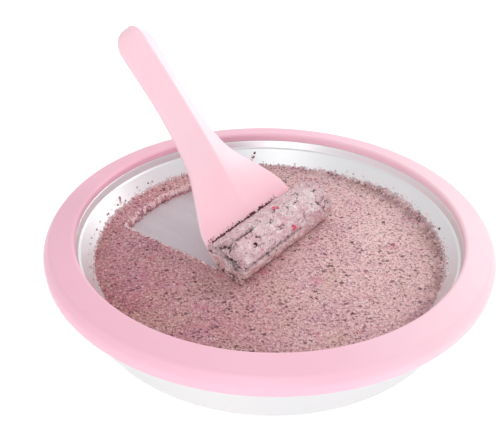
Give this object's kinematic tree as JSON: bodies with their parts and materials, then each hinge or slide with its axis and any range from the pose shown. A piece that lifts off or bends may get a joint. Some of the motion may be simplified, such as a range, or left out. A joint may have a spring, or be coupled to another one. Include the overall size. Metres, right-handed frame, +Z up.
{
  "type": "ice cream roll pan",
  "caption": "Round shallow metal freezing pan in a plastic rim and base, holding a frozen ice cream layer with a scraped track, a curled roll and a leaning wide-bladed hand scraper.",
  "frame": {"origin": "on the pan's axis, at the height the feet stand on", "axes": "+Z up; the scraper is pushed toward +X and -Y, and its handle leans back toward -X and +Y"},
  "size_m": [0.245, 0.245, 0.1362],
  "materials": {
    "base_plastic": "white, slightly translucent moulded plastic",
    "pink_plastic": "satin pink moulded plastic",
    "scraper_plastic": "satin pink moulded plastic",
    "pan_aluminium": "satin anodised",
    "gasket_rubber": "translucent silicone",
    "foot_rubber": "soft grey rubber",
    "coolant_gel": "pale blue gel",
    "screw_steel": "zinc plated",
    "ice_cream": "speckled frozen berry mix"
  },
  "bodies": {
    "pan_assembly": {"base_shell": "base_plastic", "trim_ring": "pink_plastic", "freezing_pan": "pan_aluminium", "pan_gasket": "gasket_rubber", "coolant_gel": "coolant_gel", "filler_plug": "base_plastic", "filler_washer": "gasket_rubber", "case_screws": "screw_steel", "foot_front_left": "foot_rubber", "foot_front_right": "foot_rubber", "foot_back_left": "foot_rubber", "foot_back_right": "foot_rubber", "ice_cream_layer": "ice_cream"},
    "scraper": {"scraper": "scraper_plastic"},
    "ice_cream_roll": {"ice_cream_roll": "ice_cream"}
  },
  "joints": [
    {"name": "scraper_lift", "type": "slide", "parent": "pan_assembly", "child": "scraper", "axis": [-0.5353, 0.4015, 0.7431], "range_m": [0, 0.12]},
    {"name": "roll_lift", "type": "slide", "parent": "pan_assembly", "child": "ice_cream_roll", "axis": [0, 0, 1], "range_m": [0, 0.08]}
  ]
}
